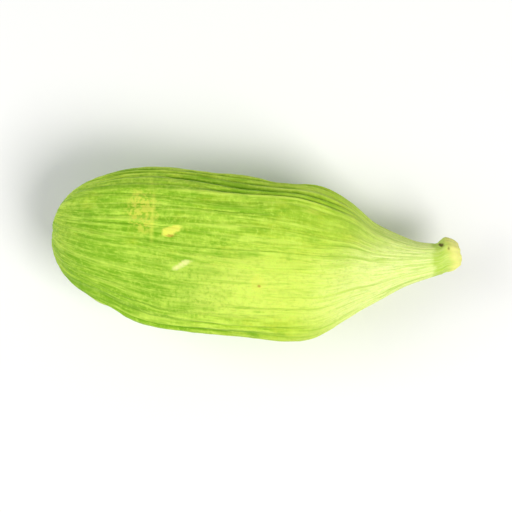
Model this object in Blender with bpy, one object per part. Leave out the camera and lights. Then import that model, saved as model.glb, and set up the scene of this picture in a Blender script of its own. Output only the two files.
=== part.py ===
"""A dried green cardamom pod, lying on a small flat spot of its underside.

The pod is one closed solid. It starts as a UV sphere whose poles are the stalk scar and the floor
of the beak's hollow. Each ring of the sphere becomes one cross-section of the pod, and each rib
runs along three columns of it: one on the crest and two in the valley beside it.

Lengths are in millimetres until the mesh is made. x runs along the pod from its rounded base to
its beak, y to the side and z up.
"""

import math
import random

import bmesh
import bpy
import numpy as np

METRES = 0.001

# The pod's size.
POD_LENGTH = 20.0
POD_WIDTH = 7.9
POD_HEIGHT = 7.1

# The husk's two edges seen from above, from the base to the end of the neck.
# Each point is (share of the length, share of half the width).
LEFT_EDGE = (
    (0.000, 0.84),
    (0.130, 0.82),
    (0.250, 0.88),
    (0.400, 0.86),
    (0.520, 0.83),
    (0.645, 0.74),
    (0.725, 0.58),
    (0.785, 0.36),
    (0.830, 0.26),
    (0.900, 0.155),
    (0.940, 0.145),
)
RIGHT_EDGE = (
    (0.000, -0.80),
    (0.110, -0.85),
    (0.200, -0.97),
    (0.270, -1.06),
    (0.400, -1.13),
    (0.590, -1.13),
    (0.650, -1.07),
    (0.740, -0.81),
    (0.800, -0.62),
    (0.870, -0.40),
    (0.940, -0.250),
)
# Half the husk's height, as (share of the length, share of half the height).
SWELL = (
    (0.000, 0.88),
    (0.200, 0.95),
    (0.430, 1.00),
    (0.600, 0.97),
    (0.680, 0.86),
    (0.760, 0.60),
    (0.830, 0.40),
    (0.900, 0.255),
    (0.940, 0.220),
)
NECK_END = 0.94 * POD_LENGTH

# The rounded base. The stalk scar, where its ribs meet, sits this far off the pod's axis, on this
# bearing from the +y side towards the top.
BASE_LENGTH = 3.9
SCAR_ANGLE = math.radians(28)
SCAR_BEARING = math.radians(-70)
BASE_RING_ANGLES = (4, 9, 14, 22, 32, 43, 54, 66, 78, 90)
SCAR_SIZE = 0.24
SCAR_DEPTH = 0.14

# The beak beyond the neck, as (distance past the neck's end, radius): collar, lip and hollow.
BEAK_RINGS = (
    (0.14, 0.73),
    (0.25, 0.79),
    (0.50, 0.82),
    (0.80, 0.74),
    (1.00, 0.60),
    (1.04, 0.52),
    (0.88, 0.45),
    (0.36, 0.41),
    (-0.05, 0.30),
)
HOLLOW_FLOOR = -0.15
# How far the top and bottom of the lip stand out beyond its sides.
LIP_BULGE = 0.14
# The beak's step to the left, which it reaches within this length, and its turn, which starts
# on the neck.
BEAK_RISE = 0.26
BEAK_RISE_LENGTH = 0.5
BEAK_TURN = math.radians(7)
BEAK_TURN_START = 17.0
BEAK_TURN_LENGTH = 2.0

# The three-sided cross-section, with angles from the +y side towards the top. It is round where
# half the width is 1 mm or less, and has its full lobes from 3 mm.
VALVES = 3
LOBE_SHARE = 0.07
LEFT_LOBE = math.radians(38)
ROUND_HALF_WIDTH = 1.0
LOBED_HALF_WIDTH = 3.0

# The keels along the two upper lobes.
KEELS = (math.radians(47), math.radians(158))
KEEL_HEIGHT = 0.12
KEEL_SPREAD = 0.16

# Ribs, fifteen on each of the three valves, and the seams between the valves. Each rib is part
# broad wave, part narrow crest. Widths and the wander are shares of the spacing from rib to rib.
RIBS = 15 * VALVES
RIB_HEIGHT = 0.10
RIB_HALF_WIDTH = 0.15
RIB_ROUNDNESS = 0.5
RIB_FULL_SPACING = 0.55
RIB_WANDER = 0.22
RIB_SWAY = 0.5
SEAM_DEPTH = 0.06
SEAM_HALF_WIDTH = 0.28
FIRST_SEAM = math.radians(84)
RIB_SEED = 11
# Deep creases between two ribs of the dried flanks: rib count, start, end and depth.
CREASES = (
    (40.5, 7.0, 15.0, 0.09),
    (39.5, 5.0, 14.6, 0.11),
    (38.5, 3.4, 12.4, 0.09),
    (37.5, 6.6, 14.0, 0.11),
    (9.5, 3.0, 9.5, 0.07),
    (10.5, 2.2, 9.0, 0.09),
    (11.5, 3.6, 11.0, 0.10),
)
CREASE_HALF_WIDTH = 0.22
CREASE_FADE = 1.6

# Soft bumps where the seeds press from inside: height, waves along, waves around, phase.
SEED_BUMPS = (
    (0.045, 0.95, 3, 0.4),
    (0.035, 1.45, 2, 2.1),
    (0.030, 0.60, 5, 4.0),
)
# Folds and dents of the dried husk: distance along, angle, height, reach along, reach around.
FOLDS = (
    (5.0, 0, 0.07, 1.2, 25),
    (7.6, 0, -0.10, 1.2, 25),
    (9.6, 0, 0.08, 1.0, 25),
    (11.5, 0, -0.12, 1.0, 25),
    (13.2, 5, 0.12, 1.0, 25),
    (11.0, 32, -0.14, 3.6, 13),
    (3.2, 180, -0.20, 0.6, 25),
    (9.5, 180, -0.09, 1.2, 30),
    (12.2, 180, 0.05, 1.2, 30),
)

COLUMNS_PER_RIB = 3
BODY_RINGS = 22
REST_SPOT_DEPTH = 0.26

HUSK_COLOUR = (0.36, 0.60, 0.06, 1.0)
HUSK_ROUGHNESS = 0.6


def smooth_step(x):
    """0 below 0, 1 above 1, with a smooth rise between."""
    x = np.clip(x, 0.0, 1.0)
    return x * x * (3 - 2 * x)


def smooth_curve(points, x):
    """A smooth curve through (x, y) points: cubic pieces with Catmull-Rom slopes."""
    knots, heights = np.array(points, float).T
    slopes = np.gradient(heights, knots)
    x = np.clip(x, knots[0], knots[-1])
    i = np.clip(np.searchsorted(knots, x) - 1, 0, len(knots) - 2)
    gap = knots[i + 1] - knots[i]
    t = (x - knots[i]) / gap
    return (
        (1 + 2 * t) * (1 - t) ** 2 * heights[i]
        + t * (1 - t) ** 2 * gap * slopes[i]
        + t * t * (3 - 2 * t) * heights[i + 1]
        - t * t * (1 - t) * gap * slopes[i + 1]
    )


def rings():
    """The pod's rings from scar to hollow: (angle from the scar, distance along, beak radius)."""
    base = [(math.radians(a), 0.0, None) for a in BASE_RING_ANGLES]
    steps = np.linspace(BASE_LENGTH, NECK_END, BODY_RINGS + 1)[1:]
    body = [(math.pi / 2, along, None) for along in steps]
    beak = [(math.pi / 2, NECK_END + past, radius) for past, radius in BEAK_RINGS]
    return base + body + beak


def lobed_section(angle, lobes):
    """Side and height of the rounded three-sided section, scaled to reach 1 on all four sides."""
    def outline(a, share):
        radius = 1 + share * np.cos(VALVES * (a - LEFT_LOBE))
        return np.array([radius * np.cos(a), radius * np.sin(a)])

    full = outline(np.linspace(0, 2 * math.pi, 361), LOBE_SHARE)
    part = (lobes / LOBE_SHARE)[np.newaxis, :]
    low = -1 + part * (full.min(axis=1) + 1)[:, np.newaxis]
    high = 1 + part * (full.max(axis=1) - 1)[:, np.newaxis]
    return (outline(angle, lobes) - (low + high) / 2) / ((high - low) / 2)


def rib_traits():
    """Each rib's strength, and the phase of its wander, drawn with a fixed seed."""
    draw = random.Random(RIB_SEED)
    strength = np.array([draw.uniform(0.6, 1.1) for _ in range(RIBS)])
    phase = np.array([draw.uniform(0, 2 * math.pi) for _ in range(RIBS)])
    return strength, phase


def rib_angle(count, along, phase):
    """The angle of a line at this rib count: evenly round the pod, but for the ribs' wander."""
    before = np.floor(count).astype(int)
    share = count - before
    sway = [np.sin(RIB_SWAY * along + phase[(before + i) % RIBS]) for i in (0, 1)]
    wander = RIB_WANDER * ((1 - share) * sway[0] + share * sway[1])
    return FIRST_SEAM + 2 * math.pi * (count + wander - 0.5) / RIBS


def creases(count, along):
    """How deep the creases between the ribs cut."""
    depth = np.zeros_like(along)
    for at, start, end, full in CREASES:
        near = np.exp(-(((count - at) / CREASE_HALF_WIDTH) ** 2))
        inside = smooth_step((along - start) / CREASE_FADE) * smooth_step(
            (end - along) / CREASE_FADE
        )
        depth = depth + full * near * inside
    return depth


def relief(count, angle, along, spacing, strength):
    """Height of the skin against the smooth husk: ribs, creases, seams, keels and bumps."""
    nearest = np.round(count)
    narrow = 1 / (1 + ((count - nearest) / RIB_HALF_WIDTH) ** 2)
    broad = (1 + np.cos(2 * math.pi * (count - nearest))) / 2
    crest = RIB_ROUNDNESS * broad + (1 - RIB_ROUNDNESS) * narrow
    room = smooth_step(spacing / RIB_FULL_SPACING)
    ribs = RIB_HEIGHT * strength[nearest.astype(int) % RIBS] * (crest - 1)
    from_seam = (count - 0.5 + RIBS / 6) % (RIBS / VALVES) - RIBS / 6
    seams = SEAM_DEPTH * np.exp(-((from_seam / SEAM_HALF_WIDTH) ** 2))
    keels = sum(
        np.exp(-((np.sin((angle - lobe) / 2) * 2 / KEEL_SPREAD) ** 2))
        for lobe in KEELS
    )
    bumps = sum(
        height * np.sin(waves * along + turns * angle + phase)
        for height, waves, turns, phase in SEED_BUMPS
    )
    folds = sum(
        height
        * np.exp(-(((along - at) / reach) ** 2))
        * np.exp(-((np.sin((angle - math.radians(turn)) / 2) * 2 / math.radians(spread)) ** 2))
        for at, turn, height, reach, spread in FOLDS
    )
    cut = creases(count, along)
    return room * (ribs - cut - seams + KEEL_HEIGHT * keels + bumps) + folds


def base_direction(from_scar, angle):
    """Swings a direction out of the base, so that the ribs meet at the scar beside the axis."""
    swing = SCAR_ANGLE * (1 - smooth_step(from_scar / (math.pi / 2)))
    upright = SCAR_BEARING + math.pi / 2
    back = np.cos(from_scar)
    side = np.sin(from_scar) * np.cos(angle - upright)
    up = np.sin(from_scar) * np.sin(angle - upright)
    back, up = (
        back * np.cos(swing) + up * np.sin(swing),
        up * np.cos(swing) - back * np.sin(swing),
    )
    return np.clip(back, 0.0, 1.0), np.hypot(side, up), np.arctan2(up, side) + upright


def skin_points(ring, count):
    """Points round one ring, at these rib counts."""
    from_scar, along, beak_radius = ring
    strength, phase = rib_traits()
    run = max(along, BASE_LENGTH * from_scar / (math.pi / 2))
    angle = rib_angle(count, run, phase)
    back, size, angle = base_direction(from_scar, angle)
    along = np.maximum(along, BASE_LENGTH * (1 - back))
    share = np.minimum(along, NECK_END) / POD_LENGTH
    left = smooth_curve(LEFT_EDGE, share) * POD_WIDTH / 2
    right = smooth_curve(RIGHT_EDGE, share) * POD_WIDTH / 2
    middle = (left + right) / 2
    half_width = (left - right) / 2
    half_height = smooth_curve(SWELL, share) * POD_HEIGHT / 2
    if beak_radius:
        half_width = half_height = np.full_like(angle, beak_radius)
        middle = middle + BEAK_RISE * smooth_step((along - NECK_END) / BEAK_RISE_LENGTH)
        along = along + LIP_BULGE * smooth_step(along - NECK_END) * np.sin(angle) ** 2
    lobed = (half_width - ROUND_HALF_WIDTH) / (LOBED_HALF_WIDTH - ROUND_HALF_WIDTH)
    lobes = LOBE_SHARE * smooth_step(lobed)
    side, up = lobed_section(angle, lobes)
    spacing = 2 * math.pi * half_width * math.sin(from_scar) / RIBS
    raised = relief(count, angle, along, spacing, strength)
    raised = raised - SCAR_DEPTH * smooth_step(1 - from_scar / SCAR_SIZE)
    beak_turn = BEAK_TURN * smooth_step((along - BEAK_TURN_START) / BEAK_TURN_LENGTH)
    y = size * (half_width * side + raised * np.cos(angle))
    z = size * (half_height * up + raised * np.sin(angle))
    x = along - back * raised - y * np.sin(beak_turn)
    return np.column_stack([x, middle + y, z])


def pod_mesh():
    """The pod's skin, made from a UV sphere by moving each ring to its cross-section."""
    stations = rings()
    columns = RIBS * COLUMNS_PER_RIB
    sphere = bmesh.new()
    bmesh.ops.create_uvsphere(
        sphere, u_segments=columns, v_segments=len(stations) + 1, radius=1.0
    )
    loops = [skin_points(ring, np.arange(columns) / COLUMNS_PER_RIB) for ring in stations]
    scar = skin_points((0.0, 0.0, None), np.zeros(1))[0]
    floor = loops[-1].mean(axis=0) + ((HOLLOW_FLOOR - BEAK_RINGS[-1][0]), 0.0, 0.0)
    for vertex in sphere.verts:
        from_pole = math.acos(max(-1.0, min(1.0, -vertex.co.z)))
        row = round(from_pole / math.pi * (len(stations) + 1)) - 1
        column = round(math.atan2(vertex.co.y, vertex.co.x) / (2 * math.pi) * columns) % columns
        if row < 0:
            place = scar
        elif row == len(stations):
            place = floor
        else:
            place = loops[row][column]
        vertex.co = place * METRES
    mesh = bpy.data.meshes.new("cardamom_pod")
    sphere.to_mesh(mesh)
    sphere.free()
    return mesh


def press_rest_spot(mesh):
    """Flattens the lowest part of the underside, where the pod has lain."""
    lowest = min(v.co.z for v in mesh.vertices)
    level = lowest + REST_SPOT_DEPTH * METRES
    for vertex in mesh.vertices:
        vertex.co.z = max(vertex.co.z, level)


def husk_material():
    """The dry green husk."""
    material = bpy.data.materials.new("green_husk")
    material.use_nodes = True
    shader = material.node_tree.nodes["Principled BSDF"]
    shader.inputs["Base Color"].default_value = HUSK_COLOUR
    shader.inputs["Roughness"].default_value = HUSK_ROUGHNESS
    shader.inputs["Metallic"].default_value = 0.0
    return material


def lay_down(pod):
    """Places the pod with the middle of its underside at the origin."""
    points = np.array([v.co for v in pod.data.vertices])
    low, high = points.min(axis=0), points.max(axis=0)
    pod.location = (-(low[0] + high[0]) / 2, -(low[1] + high[1]) / 2, -low[2])


def main():
    for old in list(bpy.data.objects):
        bpy.data.objects.remove(old)
    collection = bpy.data.collections.new("green_cardamom_pod")
    bpy.context.scene.collection.children.link(collection)
    mesh = pod_mesh()
    press_rest_spot(mesh)
    mesh.shade_smooth()
    mesh.materials.append(husk_material())
    pod = bpy.data.objects.new("cardamom_pod", mesh)
    collection.objects.link(pod)
    lay_down(pod)


main()
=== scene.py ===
"""Dresses a dried green cardamom pod: its ribbed husk, its open beak and its stalk scar.

The husk is one skin, wound from a grid of rings and columns. Lengths are in millimetres until the
mesh is made. x runs along the pod from its rounded base to its beak, y to its left side as it
points away, and z up. Angles round the pod go from the +y side towards the top.
"""

from __future__ import annotations

import logging
import math
import random
from dataclasses import dataclass, field
from enum import Enum
from typing import Any, Callable, Mapping, Sequence, Union

import bpy
import numpy as np
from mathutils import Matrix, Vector, noise

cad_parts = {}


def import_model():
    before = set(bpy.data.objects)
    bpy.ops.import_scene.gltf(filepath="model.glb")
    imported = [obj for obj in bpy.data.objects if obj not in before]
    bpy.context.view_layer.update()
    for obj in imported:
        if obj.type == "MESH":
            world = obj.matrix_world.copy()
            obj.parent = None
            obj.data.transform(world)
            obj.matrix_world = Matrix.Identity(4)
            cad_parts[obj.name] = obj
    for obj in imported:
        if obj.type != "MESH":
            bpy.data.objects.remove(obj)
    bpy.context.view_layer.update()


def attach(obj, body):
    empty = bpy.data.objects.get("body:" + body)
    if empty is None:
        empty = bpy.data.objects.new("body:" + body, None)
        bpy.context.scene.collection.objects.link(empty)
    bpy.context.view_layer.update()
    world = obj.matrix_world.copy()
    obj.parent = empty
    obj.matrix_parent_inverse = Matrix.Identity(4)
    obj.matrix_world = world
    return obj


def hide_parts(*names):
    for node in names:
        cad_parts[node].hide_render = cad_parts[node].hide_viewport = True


Array = np.ndarray
Colour = tuple[float, float, float]
Curve = tuple[tuple[float, float], ...]
Wave = tuple[float, float]
Ripples = tuple[tuple[float, float, float], ...]
Operand = Union["Wire", float]
Layer = tuple[Union["Wire", Colour], Operand]

METRES = 0.001
QUARTER_TURN = math.pi / 2
FULL_TURN = 2 * math.pi
NOISE_MIDDLE = 0.5

log = logging.getLogger("cardamom_pod")


def smooth_step(x: Array) -> Array:
    """Rises smoothly from 0 at 0 to 1 at 1, and is flat beyond them."""
    x = np.clip(x, 0.0, 1.0)
    return x * x * (3 - 2 * x)


def bell(x: Array) -> Array:
    """A bell curve of height 1 and half-width 1."""
    return np.exp(-(x**2))


def smooth_curve(points: Curve, x: Array) -> Array:
    """Reads a smooth curve through points.

    Args:
        points: The curve's (x, y) points, in the order of x.
        x: Where to read it.

    Returns:
        The curve's height at each x, held level beyond both ends.
    """
    knots, heights = np.array(points, float).T
    slopes = np.gradient(heights, knots)
    x = np.clip(x, knots[0], knots[-1])
    i = np.clip(np.searchsorted(knots, x) - 1, 0, len(knots) - 2)
    gap = knots[i + 1] - knots[i]
    t = (x - knots[i]) / gap
    return (
        (1 + 2 * t) * (1 - t) ** 2 * heights[i]
        + t * (1 - t) ** 2 * gap * slopes[i]
        + t * t * (3 - 2 * t) * heights[i + 1]
        - t * t * (1 - t) * gap * slopes[i + 1]
    )


def slow_wave(along: Array, number: Array, wave: Wave) -> Array:
    """A wave along the ribs, from -1 to 1, that shifts from one numbered rib to the next."""
    return np.sin(wave[0] * along + wave[1] * number)


def ripples(angle: Array, rows: Ripples) -> Array:
    """Adds up ripples round the pod: the height, the number and the phase of each."""
    return sum(height * np.sin(number * angle + phase) for height, number, phase in rows)


@dataclass(frozen=True)
class Step:
    """A smooth step of this length from 0 up to 1, or from 1 down to 0 where it is negative."""

    start: float
    length: float

    def at(self, x: Array) -> Array:
        """How high the step stands at each place."""
        return smooth_step((x - self.start) / self.length)


@dataclass(frozen=True)
class Bump:
    """A bell-shaped bump: its middle, its half-width and its height."""

    middle: float
    reach: float
    height: float = 1.0

    def at(self, x: Array) -> Array:
        """How high the bump stands at each place."""
        return self.height * bell((x - self.middle) / self.reach)


@dataclass(frozen=True)
class Sector:
    """A soft-edged sector round the pod, in degrees."""

    middle: float
    spread: float

    def at(self, angle: Array) -> Array:
        """How far each angle is in the sector, which closes on itself after a full turn."""
        middle, spread = math.radians(self.middle), math.radians(self.spread)
        return bell(2 * np.sin((angle - middle) / 2) / spread)


class Mask(Enum):
    """What a place on the skin is, stored on the mesh as one number from 0 to 1 each."""

    CREST = "crest"
    CREASE = "crease"
    RIM = "rim"
    FLANK = "flank"
    SCAR = "scar"
    SCAR_SLIT = "scar_slit"
    STUB = "stub"
    CAP = "cap"
    LIP = "lip"
    NOTCH = "notch"
    HOLLOW = "hollow"
    PATCH = "patch"
    SCAB = "scab"
    STREAK = "streak"
    SCRATCH = "scratch"
    HALO = "halo"
    BURN = "burn"


@dataclass(frozen=True)
class Fold:
    """A soft fold or dent of the dried husk, in millimetres and degrees."""

    along: float
    turn: float
    height: float
    reach: float
    spread: float

    def raised(self, along: Array, angle: Array) -> Array:
        """How far the fold lifts the skin at each place."""
        around = Sector(self.turn, self.spread).at(angle)
        return Bump(self.along, self.reach, self.height).at(along) * around


@dataclass(frozen=True)
class RibLine:
    """A deep crease or a pale ridge along the ribs: its rib count, its ends and its height."""

    count: float
    start: float
    end: float
    height: float
    half_width: float = 0.22
    fade: float = 1.6

    def shown(self, count: Array, along: Array) -> Array:
        """How much of the line shows at each place."""
        inside = Step(self.start, self.fade).at(along) * Step(self.end, -self.fade).at(along)
        return Bump(self.count, self.half_width).at(count) * inside


@dataclass(frozen=True)
class Mark:
    """A small mark, placed as seen from above, in millimetres and degrees."""

    kind: Mask
    along: float
    side: float
    length: float
    width: float
    slant: float = 0.0
    height: float = 0.0
    below: bool = False
    shake: float = 0.12
    edge: float = 0.6
    strength: float = 1.0
    shake_pace: float = 2.6
    side_height: float = 0.5

    def shade(self, x: Array, y: Array, z: Array) -> Array:
        """How strongly the mark shows.

        Args:
            x: Each place's distance along the pod.
            y: Its distance to the left.
            z: Its height over the axis.

        Returns:
            The mark's strength at each place, at most 1 in its middle and 0 outside it.
        """
        slant = math.radians(self.slant)
        points = np.stack([x, y, z], -1).reshape(-1, 3) * self.shake_pace
        near = np.hypot(x - self.along, y - self.side).ravel() < self.length + self.width
        shake = np.zeros_like(points)
        shake[near] = [noise.noise_vector(point) for point in points[near]]
        shake = shake.reshape(*x.shape, 3) * self.shake
        dx, dy = x - self.along + shake[..., 0], y - self.side + shake[..., 1]
        forward = dx * math.cos(slant) + dy * math.sin(slant)
        across = dy * math.cos(slant) - dx * math.sin(slant)
        reach = np.hypot(forward / (self.length / 2), across / (self.width / 2))
        facing = smooth_step(self.side_height + (-z if self.below else z))
        inside = smooth_step((1 + self.edge / 2 - reach) / self.edge)
        return self.strength * inside * facing


@dataclass(frozen=True)
class PodForm:
    """The pod's smooth form: its outline, its height and the path of its rings.

    The edges and the swell are shares of half the width and half the height, at shares of the
    length.
    """

    length: float = 20.0
    width: float = 7.9
    height: float = 7.1
    left_edge: Curve = (
        (0.000, 0.84), (0.130, 0.82), (0.250, 0.88), (0.400, 0.86), (0.520, 0.83), (0.645, 0.74),
        (0.725, 0.58), (0.785, 0.36), (0.830, 0.26), (0.900, 0.155), (0.940, 0.145),
    )
    right_edge: Curve = (
        (0.000, -0.80), (0.110, -0.85), (0.200, -0.97), (0.270, -1.06), (0.400, -1.13),
        (0.590, -1.13), (0.650, -1.07), (0.740, -0.81), (0.800, -0.62), (0.870, -0.40),
        (0.940, -0.250),
    )
    swell: Curve = (
        (0.000, 0.88), (0.200, 0.95), (0.430, 1.00), (0.600, 0.97), (0.680, 0.86), (0.760, 0.60),
        (0.830, 0.40), (0.900, 0.255), (0.940, 0.220),
    )
    neck_share: float = 0.94
    base_length: float = 3.9
    scar_angle: float = math.radians(28)
    scar_bearing: float = math.radians(-70)
    valves: int = 3
    lobe_share: float = 0.07
    left_lobe: float = math.radians(38)
    section_samples: int = 361
    round_half_width: float = 1.0
    lobed_half_width: float = 3.0
    beak_profile: Curve = (
        (0.14, 0.73), (0.25, 0.79), (0.50, 0.82), (0.80, 0.74), (1.00, 0.60), (1.04, 0.52),
        (0.88, 0.45), (0.36, 0.41), (-0.05, 0.30),
    )
    hollow_floor: float = -0.15
    lip_bulge: float = 0.14
    beak_rise: float = 0.26
    beak_rise_length: float = 0.5
    beak_turn: float = math.radians(7)
    beak_turn_start: float = 17.0
    beak_turn_length: float = 2.0

    @property
    def neck_end(self) -> float:
        """How far along the neck ends and the beak's collar starts."""
        return self.neck_share * self.length

    def section(self, angle: Array, lobes: Array) -> tuple[Array, Array]:
        """The rounded three-sided section, scaled to reach 1 on all four sides.

        Args:
            angle: Angles round the pod.
            lobes: How far the three lobes stand out, from 0 to the full lobe_share.

        Returns:
            The section's side and its height at each angle.
        """

        def outline(a: Array, share: Array) -> tuple[Array, Array]:
            """The section before it is scaled."""
            radius = 1 + share * np.cos(self.valves * (a - self.left_lobe))
            return radius * np.cos(a), radius * np.sin(a)

        part = lobes / self.lobe_share
        whole_turn = np.linspace(0, FULL_TURN, self.section_samples)
        scaled = []
        for value, full in zip(outline(angle, lobes), outline(whole_turn, self.lobe_share)):
            low = -1 + part * (full.min() + 1)
            high = 1 + part * (full.max() - 1)
            scaled.append((value - (low + high) / 2) / ((high - low) / 2))
        return scaled[0], scaled[1]

    def swung(self, from_scar: Array, angle: Array) -> tuple[Array, Array, Array]:
        """Swings a direction out of the base, so that the ribs meet at the scar beside the axis.

        Args:
            from_scar: The direction's angle from the scar.
            angle: Its angle round the pod.

        Returns:
            The share of the direction that points back, the share that points outwards, and the
            new angle round the pod.
        """
        swing = self.scar_angle * (1 - smooth_step(from_scar / QUARTER_TURN))
        upright = self.scar_bearing + QUARTER_TURN
        straight = np.cos(from_scar) + 0 * angle
        side = np.sin(from_scar) * np.cos(angle - upright)
        lift = np.sin(from_scar) * np.sin(angle - upright)
        back = straight * np.cos(swing) + lift * np.sin(swing)
        up = lift * np.cos(swing) - straight * np.sin(swing)
        return np.clip(back, 0.0, 1.0), np.hypot(side, up), np.arctan2(up, side) + upright


@dataclass(frozen=True)
class Ribs:
    """The husk's ribs, veins, seams and keels. Widths and the wander are shares of the spacing.

    A wave is given by its pace along the ribs and its shift from one rib to the next, the lift by
    its middle and its swing, and each seed bump by its height, its pace along, its number round
    the pod and its phase. The crease shades are the strengths of the painted shade in the plain
    creases, the seams and the deep creases. The ridge carries a painted highlight.
    """

    per_valve: int = 15
    height: float = 0.10
    half_width: float = 0.15
    roundness: float = 0.5
    full_spacing: float = 0.55
    wander: float = 0.22
    sway: float = 0.5
    vein_height: float = 0.010
    veins: int = 3
    seam_depth: float = 0.05
    seam_half_width: float = 0.15
    seam_offset: float = 0.26
    first_seam: float = math.radians(84)
    seam_fading: float = 0.7
    seam_fade: Step = Step(5, 5)
    keels: tuple[Sector, ...] = (Sector(47, 9.1673), Sector(158, 9.1673))
    keel_height: float = 0.12
    lift: Wave = (0.8, 0.4)
    lift_waves: tuple[Wave, ...] = ((0.9, 2.1), (0.37, 1.0))
    vein_wave: Wave = (1.1, 1.7)
    crease_wave: Wave = (0.8, 3.7)
    crease_least: float = 0.3
    crease_on_top: float = 0.5
    crease_on_edge: float = 0.8
    crease_depth: float = 0.055
    crease_half_width: float = 0.12
    deep_creases: tuple[RibLine, ...] = (
        RibLine(40.5, 7.0, 15.0, 0.099),
        RibLine(39.5, 5.0, 14.6, 0.121),
        RibLine(38.5, 3.4, 12.4, 0.099),
        RibLine(37.5, 6.6, 14.0, 0.121),
        RibLine(9.5, 3.0, 9.5, 0.077),
        RibLine(10.5, 2.2, 9.0, 0.099),
        RibLine(11.5, 3.6, 11.0, 0.110),
    )
    crease_shades: tuple[float, float, float] = (1.1, 0.75, 7.0)
    # A low ridge along the upper flank, which carries a painted highlight of the strength below.
    ridge: RibLine = RibLine(41, 4.5, 16, 0.03, 0.25, 4.0)
    ridge_painted_highlight: float = 0.6
    flank: Sector = Sector(8, 34)
    lower_edge: Sector = Sector(172, 30)
    lower_edge_end: Step = Step(13, -5)
    underside: Sector = Sector(-90, 68.755)
    calm_on_top: float = 0.55
    neck_calming: float = 0.35
    neck_calm: Step = Step(9, 6)
    base_strength: float = 0.5
    base_calm: Step = Step(0.4, 3)
    # A slightly raised rim along the lower edge near the base, which carries a painted highlight.
    rim: Sector = Sector(168.5, 5)
    rim_ends: tuple[Step, Step] = (Step(0.05, 0.5), Step(3.5, -1))
    rim_height: float = 0.05
    weakest: float = 0.6
    strongest: float = 1.1
    seed: int = 11
    seed_bumps: tuple[tuple[float, float, int, float], ...] = (
        (0.045, 0.95, 3, 0.4),
        (0.035, 1.45, 2, 2.1),
        (0.030, 0.60, 5, 4.0),
    )

    def traits(self, ribs: int) -> tuple[Array, Array]:
        """Each rib's strength, and the phase of its wander, drawn with a fixed seed."""
        draw = random.Random(self.seed)
        strength = [draw.uniform(self.weakest, self.strongest) for _ in range(ribs)]
        phase = [draw.uniform(0, FULL_TURN) for _ in range(ribs)]
        return np.array(strength), np.array(phase)


@dataclass(frozen=True)
class StalkScar:
    """The puckered stalk scar: its pit, its raised edge and its slits, by angle from its middle.

    Each row of slits has its share, its number, how far it bends and the number of its bends.
    """

    size: float = 0.24
    depth: float = 0.14
    reach: float = 1.35
    pit: float = 0.34
    pit_edge: float = 0.03
    edge: float = 0.9
    edge_width: float = 0.05
    edge_height: float = 0.05
    slit_rows: tuple[tuple[float, float, float, float], ...] = ((1.0, 13, 1.6, 3), (0.7, 29, 2, 5))
    slit_gap: Step = Step(0.55, 0.7)
    slit_start: Step = Step(0.03, 0.05)
    slit_depth: float = 0.05

    def relief(self, from_scar: Array, turn: Array) -> tuple[dict[Mask, Array], Array]:
        """Height of the scar against the smooth husk.

        Args:
            from_scar: Each ring's angle from the scar.
            turn: Each column's angle round it.

        Returns:
            The masks of the scar, and its height in millimetres.
        """
        scar = smooth_step(self.reach - from_scar / self.size) + 0 * turn
        slits = sum(
            share * np.cos(number * turn + bend * np.sin(bends * turn))
            for share, number, bend, bends in self.slit_rows
        )
        slit = scar * self.slit_gap.at(slits) * self.slit_start.at(from_scar)
        pit = smooth_step((self.pit * self.size - from_scar) / self.pit_edge)
        edge = Bump(self.edge * self.size, self.edge_width, self.edge_height).at(from_scar)
        dip = self.depth * smooth_step(1 - from_scar / self.size)
        masks = {Mask.SCAR: scar, Mask.SCAR_SLIT: np.maximum(slit, pit)}
        return masks, edge - self.slit_depth * slit - dip


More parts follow.
